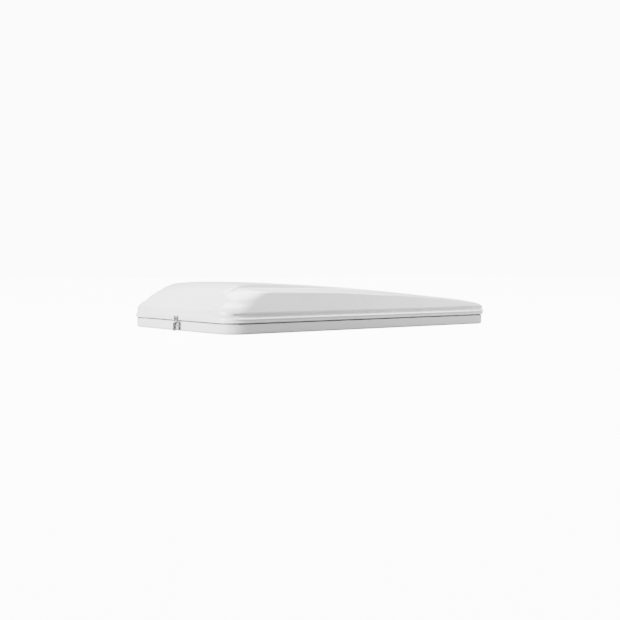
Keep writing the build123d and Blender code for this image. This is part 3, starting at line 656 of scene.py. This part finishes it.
def make_net_hooks():
    """Four moulded hooks: a round plate under the lining, a stem and a curl round the border."""
    lo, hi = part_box("net_hangers")
    parts = []
    for x in (lo.x + HOOK_PLATE_R, hi.x - HOOK_PLATE_R):
        for y in (lo.y + HOOK_PLATE_R, hi.y - HOOK_PLATE_R):
            top = float(curve(*CREASE_LINE, x)) - HOOK_TOP
            plate = [(x, y, top), (x, y, top - 0.0008), (x, y, top - 0.003), (x, y, top - 0.004)]
            parts.append(tube(plate, [0.0105, HOOK_PLATE_R, HOOK_PLATE_R, 0.0105], 20))
            hook = [(x, y, top - 0.003), (x, y, HOOK_STEM)]
            inward = math.copysign(HOOK_CURL_R, y)
            for k in range(8):
                angle = math.radians(70 - 34 * k)
                hook.append((x, y - inward * math.cos(angle), HOOK_CURL + HOOK_CURL_R * math.sin(angle)))
            parts.append(tube(hook, HOOK_R, 10))
    return joined("net_hooks", parts)


net = make_net()
hooks = make_net_hooks()


STRAP_DROP = 0.027  # how far the grab strap's loop hangs
STRAP_HALF = 0.0014  # half thickness, and the same at the webbing's edges
STRAP_EDGE = 0.0008


def make_strap():
    """Webbing handle: two flat ends on the ceiling and a hanging loop."""
    lo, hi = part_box("grab_strap")
    x = (lo.x + hi.x) / 2
    half = (hi.x - lo.x) / 2 - 0.0005
    flat = half - 0.001
    end = hi.y - 0.002
    loop = hi.y - 0.037
    bend = 0.012  # run from the loop to where the strap lies flat
    top = hi.z - 0.0015
    line = [(-end, top), (-loop - bend, top)]
    for k in range(21):
        t = k / 20
        y = -loop + 2 * loop * t
        line.append((y, top - STRAP_DROP * math.sin(math.pi * t) ** 0.62))
    line += [(loop + bend, top), (end, top)]
    section = ((-half, -STRAP_EDGE), (-half, STRAP_EDGE), (-flat, STRAP_HALF), (flat, STRAP_HALF),
               (half, STRAP_EDGE), (half, -STRAP_EDGE), (flat, -STRAP_HALF), (-flat, -STRAP_HALF))
    line = np.array(line)
    along = np.gradient(line, axis=0)
    along /= np.linalg.norm(along, axis=1)[:, None]
    verts = []
    for (y, z), (ty, tz) in zip(line, along):
        for side, up in section:
            verts.append((x + side, y - tz * up, z + ty * up))
    faces = []
    count = len(section)
    for k in range(len(line) - 1):
        for j in range(count):
            a, b = count * k + j, count * k + (j + 1) % count
            faces.append((a, b, b + count, a + count))
    faces += [tuple(range(count - 1, -1, -1)), tuple(range(len(verts) - count, len(verts)))]
    return new_object("grab_strap_webbing", verts, faces)


strap = make_strap()


# ---- fabric walls ----
HINGE = next(j for j in frame["joints"] if j["name"] == "lid_hinge")
HINGE_X = HINGE["pos_m"][0]
SWING = math.radians(HINGE["range_deg"][1])
PLEAT_LOW, PLEAT_HIGH = 0.077, 0.118  # heights between which the closed cloth lies in pleats
LAYERS = 420
TAKE_UP = 0.80  # cloth in a pleat, as a share of what the open wall needs
WALL_IN = 0.027  # cloth's line, in from the lower shell's edge
WALL_FRONT = 1.0  # where the side walls end, towards the hinge
HEM_LOW = (0.0656, 0.0690, 0.0730, 0.0765)  # heights of the plain rows below the pleats
HEM_HIGH = ((0.1185, 0.0), (0.1205, -0.006), (0.1230, -0.014), (0.1255, -0.0195))
HEM_ROWS = len(HEM_LOW)  # HEM_HIGH has as many, as (height, inset) above the pleats
BILLOW = 0.0035  # slow waves along the cloth


def wall_line(half_l, half_w, radius, side_points, corner_points, rear_points):
    """Plan line of the walls from the right front round the rear to the left front, with its normals."""
    line, normal = [], []
    for k in range(side_points):
        line.append((WALL_FRONT + (-half_l + radius - WALL_FRONT) * k / side_points, half_w))
        normal.append((0.0, 1.0))
    for k in range(corner_points + 1):
        angle = math.radians(90 + 90 * k / corner_points)
        nx, ny = math.cos(angle), math.sin(angle)
        line.append((-half_l + radius + radius * nx, half_w - radius + radius * ny))
        normal.append((nx, ny))
    mirror = [((x, -y), (nx, -ny)) for (x, y), (nx, ny) in zip(line, normal)]
    for k in range(1, rear_points):
        line.append((-half_l, (half_w - radius) * (1 - 2 * k / rear_points)))
        normal.append((-1.0, 0.0))
    for point, direction in reversed(mirror):
        line.append(point)
        normal.append(direction)
    return np.array(line), np.array(normal)


def make_walls():
    """The three walls as strips of one pleated band; their seams meet at the corners."""
    sides, corner, rear = 84, 10, 48
    line, normal = wall_line(HALF_L - WALL_IN, HALF_W - WALL_IN, CORNER - WALL_IN, sides, corner, rear)
    # rows of (share of the swing, height, inset, pleat side)
    rows = [(0.0, z, 0.0, 0) for z in HEM_LOW]
    for k in range(LAYERS + 1):
        w = k / LAYERS
        t = 0.5 - math.sin(math.asin(1 - 2 * w) / 3)
        rows.append((w, PLEAT_LOW + (PLEAT_HIGH - PLEAT_LOW) * t, 0.0, 1 if k % 2 else -1))
    rows += [(1.0, z, inset, 0) for z, inset in HEM_HIGH]
    grid = []
    pitch = (HINGE_X - line[:, 0]) * SWING / LAYERS
    for w, z, inset, fold in rows:
        squeeze = math.cos(SWING / 2) / math.cos((w - 0.5) * SWING)
        billow = BILLOW * np.sin(9.0 * line[:, 0] + 7.0 * w) * np.sin(math.pi * w)
        shift = fold * pitch * TAKE_UP / 2 - inset + billow * (fold != 0)
        point = line + normal * shift[:, None]
        x = HINGE_X - (HINGE_X - point[:, 0]) * squeeze
        grid.append(np.column_stack([x, point[:, 1], np.full(len(line), z)]))
    grid = np.array(grid)
    middle = sides + corner // 2
    last = len(line) - 1
    spans = {"right": (0, middle), "rear": (middle, last - middle), "left": (last - middle, last)}
    walls = {}
    for word, (first, end) in spans.items():
        part = grid[:, first:end + 1]
        count = part.shape[1]
        faces = [(a, a + 1, a + count + 1, a + count)
                 for a in range((len(rows) - 1) * count) if (a + 1) % count]
        wall = new_object("canvas_" + word, part.reshape(-1, 3), faces, smooth=False)
        walls[word] = (wall, len(rows), count)
    return walls


WALLS = make_walls()
for word, (wall, _, _) in WALLS.items():
    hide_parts("fabric_wall_" + word)
    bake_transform(wall)


# ---- materials ----
class Look:
    """A node material under construction, with short calls for its usual parts."""

    def __init__(self, name, roughness, metallic=0.0, **sockets):
        self.material = bpy.data.materials.new(name)
        self.material.use_nodes = True
        self.nodes = self.material.node_tree.nodes
        self.links = self.material.node_tree.links
        self.shader = self.nodes["Principled BSDF"]
        self.shader.inputs["Roughness"].default_value = roughness
        self.shader.inputs["Metallic"].default_value = metallic
        for socket, value in sockets.items():
            self.shader.inputs[socket.replace("_", " ")].default_value = value
        self.place = self.nodes.new("ShaderNodeTexCoord").outputs["Object"]

    def noise(self, scale, detail, stretch=(1, 1, 1), roughness=0.5):
        """Noise value, over stretched object coordinates."""
        mapped = self.nodes.new("ShaderNodeMapping")
        mapped.inputs["Scale"].default_value = stretch
        self.links.new(self.place, mapped.inputs["Vector"])
        node = self.nodes.new("ShaderNodeTexNoise")
        node.inputs["Scale"].default_value = scale
        node.inputs["Detail"].default_value = detail
        node.inputs["Roughness"].default_value = roughness
        self.links.new(mapped.outputs["Vector"], node.inputs["Vector"])
        return node.outputs["Fac"]

    def wave(self, scale, axis, distortion=0.0):
        """Regular bands."""
        node = self.nodes.new("ShaderNodeTexWave")
        node.bands_direction = axis
        node.inputs["Scale"].default_value = scale
        node.inputs["Distortion"].default_value = distortion
        self.links.new(self.place, node.inputs["Vector"])
        return node.outputs["Fac"]

    def ramp(self, value, stops):
        """Colour ramp over a value."""
        node = self.nodes.new("ShaderNodeValToRGB")
        node.color_ramp.elements[0].position = stops[0][0]
        node.color_ramp.elements[0].color = (*stops[0][1], 1)
        node.color_ramp.elements[1].position = stops[-1][0]
        node.color_ramp.elements[1].color = (*stops[-1][1], 1)
        for position, colour in stops[1:-1]:
            node.color_ramp.elements.new(position).color = (*colour, 1)
        self.links.new(value, node.inputs["Fac"])
        return node.outputs["Color"]

    def math(self, kind, a, b):
        """One step of arithmetic on two values; each is a number or a socket."""
        node = self.nodes.new("ShaderNodeMath")
        node.operation = kind
        for socket, value in zip(node.inputs, (a, b)):
            if isinstance(value, (int, float)):
                socket.default_value = value
            else:
                self.links.new(value, socket)
        return node.outputs["Value"]

    def mixed(self, first, second, share):
        """Colour between two others."""
        node = self.nodes.new("ShaderNodeMix")
        node.data_type = "RGBA"
        self.links.new(share, node.inputs["Factor"])
        self.links.new(first, node.inputs[6])
        self.links.new(second, node.inputs[7])
        return node.outputs[2]

    def colour(self, value):
        """Sets the base colour."""
        self.links.new(value, self.shader.inputs["Base Color"])

    def rough(self, value, low, high):
        """Roughness that varies with a value."""
        node = self.nodes.new("ShaderNodeMapRange")
        node.inputs["To Min"].default_value = low
        node.inputs["To Max"].default_value = high
        self.links.new(value, node.inputs["Value"])
        self.links.new(node.outputs["Result"], self.shader.inputs["Roughness"])

    def bump(self, value, distance, strength):
        """Adds a bump, on top of any that is there."""
        node = self.nodes.new("ShaderNodeBump")
        node.inputs["Distance"].default_value = distance
        node.inputs["Strength"].default_value = strength
        self.links.new(value, node.inputs["Height"])
        normal = self.shader.inputs["Normal"]
        if normal.is_linked:
            self.links.new(normal.links[0].from_socket, node.inputs["Normal"])
        self.links.new(node.outputs["Normal"], normal)


def gelcoat():
    """White glass-fibre gelcoat: glossy, with a faint orange peel and slow print-through."""
    look = Look("gelcoat_white", 0.28, IOR=1.5, Coat_Weight=0.35, Coat_Roughness=0.12)
    broad = look.noise(2.2, 2)
    look.colour(look.ramp(broad, [(0.3, (0.83, 0.835, 0.84)), (0.7, (0.87, 0.87, 0.868))]))
    look.rough(look.noise(9, 4), 0.24, 0.33)
    look.bump(look.noise(260, 2), 0.00012, 0.25)
    look.bump(look.noise(7, 2), 0.0012, 0.12)
    return look.material


def seal_rubber():
    """Dark grey EPDM rubber with a fine matt grain and chalky patches."""
    look = Look("seal_rubber", 0.75)
    look.colour(look.ramp(look.noise(18, 5), [(0.35, (0.11, 0.11, 0.113)), (0.7, (0.18, 0.18, 0.183))]))
    look.rough(look.noise(40, 3), 0.6, 0.85)
    look.bump(look.noise(900, 3), 0.0002, 0.5)
    return look.material


def plywood():
    """Birch plywood, lacquered: long grain with darker late-wood lines."""
    look = Look("plywood", 0.45)
    grain = look.noise(7, 6, (0.35, 6, 6), 0.6)
    look.colour(look.ramp(grain, [(0.3, (0.40, 0.25, 0.13)), (0.5, (0.55, 0.38, 0.21)),
                                  (0.72, (0.64, 0.47, 0.28))]))
    look.rough(look.noise(30, 3, (0.2, 4, 4)), 0.38, 0.58)
    look.bump(grain, 0.0003, 0.5)
    return look.material


def brushed(name, dark, light, roughness, stretch):
    """Brushed metal: fine lines along one direction over a cloudy surface."""
    look = Look(name, roughness, 1.0)
    lines = look.noise(60, 4, stretch)
    cloud = look.noise(9, 3)
    shade = look.math("MULTIPLY", look.math("ADD", lines, cloud), 0.5)
    look.colour(look.ramp(shade, [(0.35, dark), (0.65, light)]))
    look.rough(lines, roughness - 0.08, roughness + 0.10)
    look.bump(lines, 0.00006, 0.5)
    return look.material


def moulded(name, dark, light, roughness, grain):
    """Moulded or powder-coated surface with a fine texture and worn patches."""
    look = Look(name, roughness)
    look.colour(look.ramp(look.noise(14, 4), [(0.35, dark), (0.7, light)]))
    look.rough(look.noise(30, 4), roughness - 0.08, roughness + 0.12)
    look.bump(look.noise(grain, 2), 0.00012, 0.4)
    return look.material


def cloth_shade(look, weave):
    """Slow changes of shade, with the threads on top."""
    return look.math("ADD", look.math("MULTIPLY", look.noise(5, 5), 0.7), look.math("MULTIPLY", weave, 0.3))


def woven(name, dark, light, thread, depth, roughness=0.85):
    """Plain weave: crossed threads, with slow changes of shade."""
    look = Look(name, roughness, Sheen_Weight=0.3)
    warp, weft, up = (look.wave(1 / thread / 2, axis, distortion=0.6) for axis in "XYZ")
    weave = look.math("MAXIMUM", look.math("MULTIPLY", warp, weft), look.math("MULTIPLY", up, 0.8))
    look.colour(look.ramp(cloth_shade(look, weave), [(0.30, dark), (0.62, light)]))
    look.rough(look.noise(22, 3), roughness - 0.08, min(roughness + 0.1, 1.0))
    look.bump(weave, depth, 0.5)
    look.bump(look.noise(26, 4), 0.0009, 0.25)
    return look.material


def milky_lens():
    """Diffusing lens with fine ribs."""
    look = Look("lens_milky", 0.25, Transmission_Weight=0.35, IOR=1.49)
    ribs = look.wave(90, "Y")
    look.colour(look.ramp(ribs, [(0.0, (0.78, 0.78, 0.74)), (1.0, (0.92, 0.92, 0.88))]))
    look.rough(look.noise(40, 2), 0.2, 0.34)
    look.bump(ribs, 0.0004, 0.5)
    return look.material


ZIP_HALF = 0.012  # half width of the zip tape
STITCH_OUT = 0.032  # stitched seam, outward from the zip's middle
STITCH_HALF = 0.0022


def wall_cloth():
    """Canvas with an insect-mesh panel and a zip round it, by the stored distance to the panel."""
    look = Look("wall_canvas", 0.85, Sheen_Weight=0.25)
    node = look.nodes.new("ShaderNodeAttribute")
    node.attribute_name = "panel_distance"
    off = node.outputs["Fac"]
    inside = look.math("LESS_THAN", off, -ZIP_HALF)
    zipped = look.math("LESS_THAN", look.math("ABSOLUTE", off, 0.0), ZIP_HALF)
    stitch = look.math("ABSOLUTE", look.math("SUBTRACT", off, STITCH_OUT), 0.0)
    seam = look.math("LESS_THAN", stitch, STITCH_HALF)
    threads = look.math("MULTIPLY", *(look.wave(170, axis, distortion=0.6) for axis in "XZ"))
    shade = cloth_shade(look, threads)
    canvas = look.ramp(shade, [(0.30, (0.29, 0.305, 0.305)), (0.62, (0.40, 0.415, 0.41))])
    mesh = look.ramp(shade, [(0.30, (0.020, 0.021, 0.023)), (0.62, (0.075, 0.077, 0.08))])
    teeth = look.wave(110, "Z")
    tape = look.ramp(teeth, [(0.3, (0.02, 0.02, 0.021)), (0.7, (0.11, 0.11, 0.11))])
    stitched = look.ramp(shade, [(0.30, (0.16, 0.165, 0.17)), (0.62, (0.22, 0.225, 0.225))])
    look.colour(look.mixed(look.mixed(look.mixed(canvas, stitched, seam), mesh, inside), tape, zipped))
    look.rough(look.noise(22, 3), 0.75, 0.95)
    look.bump(threads, 0.0003, 0.5)
    look.bump(look.noise(26, 4), 0.0009, 0.25)
    look.bump(zipped, 0.002, 0.8)
    look.bump(seam, 0.0012, 0.8)
    return look.material


def paint(obj, *materials):
    """Materials of a piece; the first one covers it all unless its faces say otherwise."""
    obj.data.materials.clear()
    for material in materials:
        obj.data.materials.append(material)


WHITE = gelcoat()
RUBBER = seal_rubber()
STEEL = brushed("steel_brushed", (0.46, 0.465, 0.47), (0.66, 0.665, 0.67), 0.30, (1, 1, 14))
LATCH_STEEL = brushed("steel_latch", (0.20, 0.205, 0.21), (0.36, 0.365, 0.37), 0.36, (14, 1, 1))
ZINC = brushed("steel_zinc", (0.42, 0.43, 0.45), (0.60, 0.61, 0.62), 0.36, (4, 4, 4))
ALUMINIUM = brushed("aluminium_extruded", (0.55, 0.56, 0.57), (0.72, 0.73, 0.735), 0.34, (0.3, 9, 9))
CHROME = brushed("rod_chrome", (0.58, 0.58, 0.59), (0.70, 0.70, 0.71), 0.14, (9, 9, 1))
STRUT = moulded("strut_paint", (0.018, 0.018, 0.019), (0.035, 0.035, 0.037), 0.32, 1200)
BLACK = moulded("plastic_black", (0.022, 0.022, 0.023), (0.045, 0.045, 0.046), 0.5, 900)
LENS = milky_lens()
LINING = woven("lining_quilted", (0.36, 0.37, 0.38), (0.47, 0.48, 0.49), 0.0022, 0.0003)
TICKING = woven("mattress_cover", (0.20, 0.215, 0.235), (0.29, 0.305, 0.325), 0.0026, 0.0004)
WEBBING = woven("webbing", (0.05, 0.052, 0.055), (0.10, 0.10, 0.105), 0.0032, 0.0005, 0.7)
NET = woven("netting_cord", (0.02, 0.02, 0.022), (0.055, 0.055, 0.058), 0.0012, 0.0002, 0.75)
CANVAS_DARK = woven("canvas_edge", (0.10, 0.105, 0.11), (0.16, 0.165, 0.17), 0.0030, 0.0003)
WALL_CLOTH = wall_cloth()


# ---- bodies and materials ----
# each piece with its body, the CAD node that it replaces, its slot and its material
PIECES = (
    (lid_skin, "lid", "upper_shell", "shell", WHITE),
    (lid_inner, "lid", "upper_shell", "shell", WHITE),
    (base_skin, "base", "lower_shell", "shell", WHITE),
    (seal, "base", "seal", "seal_rubber", RUBBER),
    (headliner, "lid", "headliner", "lining", LINING),
    (mattress, "base", "mattress", "mattress_cover", TICKING),
    (piping, "base", None, "webbing", WEBBING),
    (net, "lid", "storage_net", "netting", NET),
    (hooks, "lid", "net_hangers", "black_plastic", BLACK),
    (strap, "lid", "grab_strap", "webbing", WEBBING),
)
for piece, body, node, slot, material in PIECES:
    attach(piece, body)
    if node:
        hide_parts(node)
    paint(piece, material)

# materials of the CAD nodes that stay
FINISHES = (
    (plywood(), ("floor_board",)),
    (ALUMINIUM, ("mounting_rail_left", "mounting_rail_right", "fabric_clamp_lower", "fabric_clamp_upper")),
    (STEEL, ("hinge_leaves_lower", "hinge_leaves_upper", "latch_lever")),
    (LATCH_STEEL, ("latch_base", "latch_keeper")),
    (ZINC, ("rail_bolts", "rail_washers", "hinge_screws_lower", "hinge_screws_upper", "latch_rivets",
            "keeper_rivets")),
    (CHROME, ("hinge_pins", "latch_pivots", "latch_bail_pin", "latch_bail", "strut_rod_left",
              "strut_rod_right")),
    (STRUT, ("strut_cylinder_left", "strut_cylinder_right")),
    (BLACK, ("strut_bracket_lower_left", "strut_bracket_lower_right", "strut_bracket_upper_left",
             "strut_bracket_upper_right", "lamp_housing")),
    (LENS, ("lamp_lens",)),
)
for material, nodes in FINISHES:
    for node in nodes:
        paint(frame["nodes"][node], material)


def panel_distance(u, v, box, radius):
    """Signed distance to a rounded rectangle in the open wall, negative inside."""
    u0, u1, v0, v1 = box
    qu = abs(u - (u0 + u1) / 2) - ((u1 - u0) / 2 - radius)
    qv = abs(v - (v0 + v1) / 2) - ((v1 - v0) / 2 - radius)
    return math.hypot(max(qu, 0), max(qv, 0)) + min(max(qu, qv), 0) - radius


# windows and door: low and high along the wall, and low and high as shares of the swing
SIDE_WINDOW = (-0.86, 0.10, 0.22, 0.80)
REAR_DOOR = (-0.37, 0.37, 0.14, 0.88)
PANEL_R = 0.07


def dress_wall(word):
    """Stores the distance to the wall's window or door, and gives the wall its edge tapes."""
    wall, rows, count = WALLS[word]
    paint(wall, WALL_CLOTH, CANVAS_DARK)
    points = np.array([v.co for v in wall.data.vertices]).reshape(rows, count, 3)
    box, axis = (REAR_DOOR, 1) if word == "rear" else (SIDE_WINDOW, 0)
    share = [min(max((i - HEM_ROWS) / LAYERS, 0.0), 1.0) for i in range(rows)]
    distance = [panel_distance(points[i, j, axis], share[i], box, PANEL_R)
                for i in range(rows) for j in range(count)]
    attribute = wall.data.attributes.new("panel_distance", "FLOAT", "POINT")
    attribute.data.foreach_set("value", distance)
    tape = [int(j in (0, count - 2) or not HEM_ROWS <= i < rows - 1 - HEM_ROWS)
            for i in range(rows - 1) for j in range(count - 1)]
    wall.data.polygons.foreach_set("material_index", tape)


for word in WALLS:
    dress_wall(word)


# ---- camera, light, floor ----
CAMERA_PLACE = (-4.538, -5.886, 0.410)
CAMERA_YAW = math.radians(52.602)  # from +X
CAMERA_PITCH = math.radians(-2.345)
LENS_MM, SENSOR_MM = 60.31, 36


def place_camera():
    """Camera at the photograph's viewing angle."""
    data = bpy.data.cameras.new("camera")
    data.sensor_width = SENSOR_MM
    data.lens = LENS_MM
    camera = bpy.data.objects.new("camera", data)
    bpy.context.scene.collection.objects.link(camera)
    camera.location = CAMERA_PLACE
    level = math.cos(CAMERA_PITCH)
    ahead = Vector((math.cos(CAMERA_YAW) * level, math.sin(CAMERA_YAW) * level, math.sin(CAMERA_PITCH)))
    camera.rotation_euler = ahead.to_track_quat("-Z", "Y").to_euler()
    bpy.context.scene.camera = camera


def seen_directly(tree, usual, direct, surface):
    """Gives a surface one shader for what is seen directly and another for everything else."""
    path = tree.nodes.new("ShaderNodeLightPath")
    mix = tree.nodes.new("ShaderNodeMixShader")
    tree.links.new(path.outputs["Is Camera Ray"], mix.inputs["Fac"])
    tree.links.new(usual, mix.inputs[1])
    tree.links.new(direct, mix.inputs[2])
    tree.links.new(mix.outputs["Shader"], surface)


def backdrop_world():
    """Even studio surround; seen directly it is plain white."""
    world = bpy.data.worlds.new("studio")
    bpy.context.scene.world = world
    world.use_nodes = True
    nodes = world.node_tree.nodes
    seen = nodes.new("ShaderNodeBackground")
    seen.inputs["Strength"].default_value = 14.0
    plain = nodes["Background"]
    plain.inputs["Color"].default_value = (1, 1, 1, 1)
    plain.inputs["Strength"].default_value = 0.55
    seen_directly(world.node_tree, plain.outputs["Background"], seen.outputs["Background"],
                  nodes["World Output"].inputs["Surface"])


def area_light(name, place, target, size, power):
    """Rectangular soft light aimed at a point."""
    data = bpy.data.lights.new(name, "AREA")
    data.shape = "RECTANGLE"
    data.size, data.size_y = size
    data.energy = power
    light = bpy.data.objects.new(name, data)
    bpy.context.scene.collection.objects.link(light)
    light.location = place
    light.rotation_euler = (Vector(target) - Vector(place)).to_track_quat("-Z", "Y").to_euler()


def studio_floor():
    """Plain pale floor; it glows only towards the camera, so that it doesn't light the object."""
    bpy.ops.mesh.primitive_plane_add(size=60, location=(0, 0, -0.0005))
    floor = bpy.context.active_object
    floor.name = "floor"
    look = Look("floor_pale", 0.9)
    look.colour(look.ramp(look.noise(6, 3), [(0.3, (0.10, 0.10, 0.10)), (0.7, (0.12, 0.12, 0.12))]))
    glow = look.nodes.new("ShaderNodeEmission")
    glow.inputs["Strength"].default_value = 12.0
    add = look.nodes.new("ShaderNodeAddShader")
    plain = look.shader.outputs["BSDF"]
    look.links.new(plain, add.inputs[0])
    look.links.new(glow.outputs["Emission"], add.inputs[1])
    seen_directly(look.material.node_tree, plain, add.outputs["Shader"],
                  look.nodes["Material Output"].inputs["Surface"])
    floor.data.materials.append(look.material)


place_camera()
backdrop_world()
area_light("key_rear", (-6.5, 0.6, 2.2), (-0.6, 0, 0.15), (3.5, 2.5), 1500)
area_light("top", (1.3, 0.4, 3.6), (1.1, 0, 0.2), (6.2, 3.0), 980)
area_light("side", (1.2, -5.5, 4.0), (0.2, -0.6, 0.1), (5.0, 2.0), 100)
area_light("fill_front", (3.2, -3.4, 1.3), (1.0, -0.6, 0.15), (1.6, 1.2), 90)
studio_floor()
